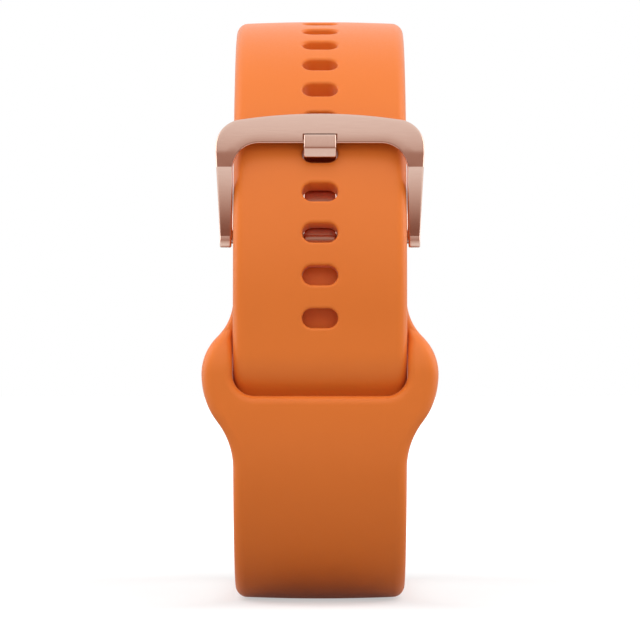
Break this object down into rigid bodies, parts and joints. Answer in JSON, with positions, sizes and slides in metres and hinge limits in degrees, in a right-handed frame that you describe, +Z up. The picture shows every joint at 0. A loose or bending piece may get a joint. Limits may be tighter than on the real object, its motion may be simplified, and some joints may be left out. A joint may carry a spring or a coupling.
{
  "type": "gps running watch",
  "caption": "Slim sports watch closed on its perforated silicone band, with pin buckle, tuck-in loop, side button and wrist sensor.",
  "frame": {"origin": "on the surface the band stands on, under the middle of the loop", "axes": "+X across the band, +Y from the buckle to the display, +Z up"},
  "size_m": [0.0272, 0.0746, 0.0692],
  "materials": {
    "silicone": "soft satin silicone, orange",
    "rose_gold": "rose-gold plated stainless steel, satin brushed",
    "case_metal": "rose-gold anodised aluminium, fine bead-blast",
    "steel": "plain stainless steel",
    "glass": "dark hardened glass",
    "display": "black display panel",
    "pale_polymer": "pale moulded polymer",
    "black_polymer": "black moulded polymer",
    "lens": "dark sensor window",
    "board": "green circuit board",
    "chip": "black chip package",
    "shield": "tinned shield can",
    "ceramic": "ceramic patch",
    "battery_foil": "foil battery pouch",
    "black_rubber": "black seal rubber",
    "adhesive": "black adhesive film",
    "gold_contact": "gold plated contact",
    "led": "green light-emitting diode"
  },
  "bodies": {
    "watch": {"band_long": "silicone", "band_short": "silicone", "buckle_bar_tube": "steel", "buckle_bar_spring": "steel", "upper_bar_tube": "steel", "upper_bar_spring": "steel", "lower_bar_tube": "steel", "lower_bar_spring": "steel", "case_body": "case_metal", "bezel": "case_metal", "cover_glass": "glass", "glass_adhesive": "adhesive", "display_panel": "display", "midframe": "black_polymer", "main_board": "board", "board_chips": "chip", "shield_can": "shield", "gnss_antenna": "ceramic", "battery": "battery_foil", "motor_can": "shield", "button_seal": "black_rubber", "button_switch": "black_polymer", "case_back": "pale_polymer", "back_gasket": "black_rubber", "back_screws": "steel", "sensor_window": "lens", "sensor_board": "board", "sensor_leds": "led", "sensor_diodes": "chip", "charge_contacts": "gold_contact"},
    "buckle_frame": {"buckle_frame": "rose_gold"},
    "buckle_tang": {"buckle_tang": "rose_gold"},
    "buckle_plunger_left": {"buckle_bar_plunger_left": "steel"},
    "buckle_plunger_right": {"buckle_bar_plunger_right": "steel"},
    "upper_lever": {"upper_bar_plunger": "steel"},
    "lower_lever": {"lower_bar_plunger": "steel"},
    "side_button": {"button_cap": "case_metal", "button_clip": "steel"},
    "motor_rotor": {"motor_weight": "steel"}
  },
  "joints": [
    {"name": "buckle_frame_hinge", "type": "hinge", "parent": "watch", "child": "buckle_frame", "pos_m": [0, -0.03018, 0.0423], "axis": [1, 0, 0], "range_deg": [-0.9, 0.8]},
    {"name": "buckle_tang_hinge", "type": "hinge", "parent": "watch", "child": "buckle_tang", "pos_m": [0, -0.03018, 0.0423], "axis": [1, 0, 0], "range_deg": [-0.9, 0.8]},
    {"name": "buckle_plunger_left_slide", "type": "slide", "parent": "watch", "child": "buckle_plunger_left", "axis": [1, 0, 0], "range_m": [0, 0.0012], "stiffness_N_per_m": 400, "springref_m": -0.0005, "deforming": ["buckle_bar_spring"]},
    {"name": "buckle_plunger_right_slide", "type": "slide", "parent": "watch", "child": "buckle_plunger_right", "axis": [-1, 0, 0], "range_m": [0, 0.0012], "stiffness_N_per_m": 400, "springref_m": -0.0005, "deforming": ["buckle_bar_spring"]},
    {"name": "upper_lever_slide", "type": "slide", "parent": "watch", "child": "upper_lever", "axis": [-1, 0, 0], "range_m": [0, 0.0015], "stiffness_N_per_m": 400, "springref_m": -0.0005, "deforming": ["upper_bar_spring"]},
    {"name": "lower_lever_slide", "type": "slide", "parent": "watch", "child": "lower_lever", "axis": [-1, 0, 0], "range_m": [0, 0.0015], "stiffness_N_per_m": 400, "springref_m": -0.0005, "deforming": ["lower_bar_spring"]},
    {"name": "side_button_press", "type": "slide", "parent": "watch", "child": "side_button", "axis": [-1, 0, 0], "range_m": [0, 0.0005], "stiffness_N_per_m": 2000, "springref_m": -0.0002},
    {"name": "motor_weight_spin", "type": "hinge", "parent": "watch", "child": "motor_rotor", "pos_m": [-0.0044, 0.034, 0.0434], "axis": [0, 1, 0], "continuous": true}
  ],
  "couplings": [
    {"joint": "buckle_tang_hinge", "follows": "buckle_frame_hinge", "ratio": 1}
  ]
}
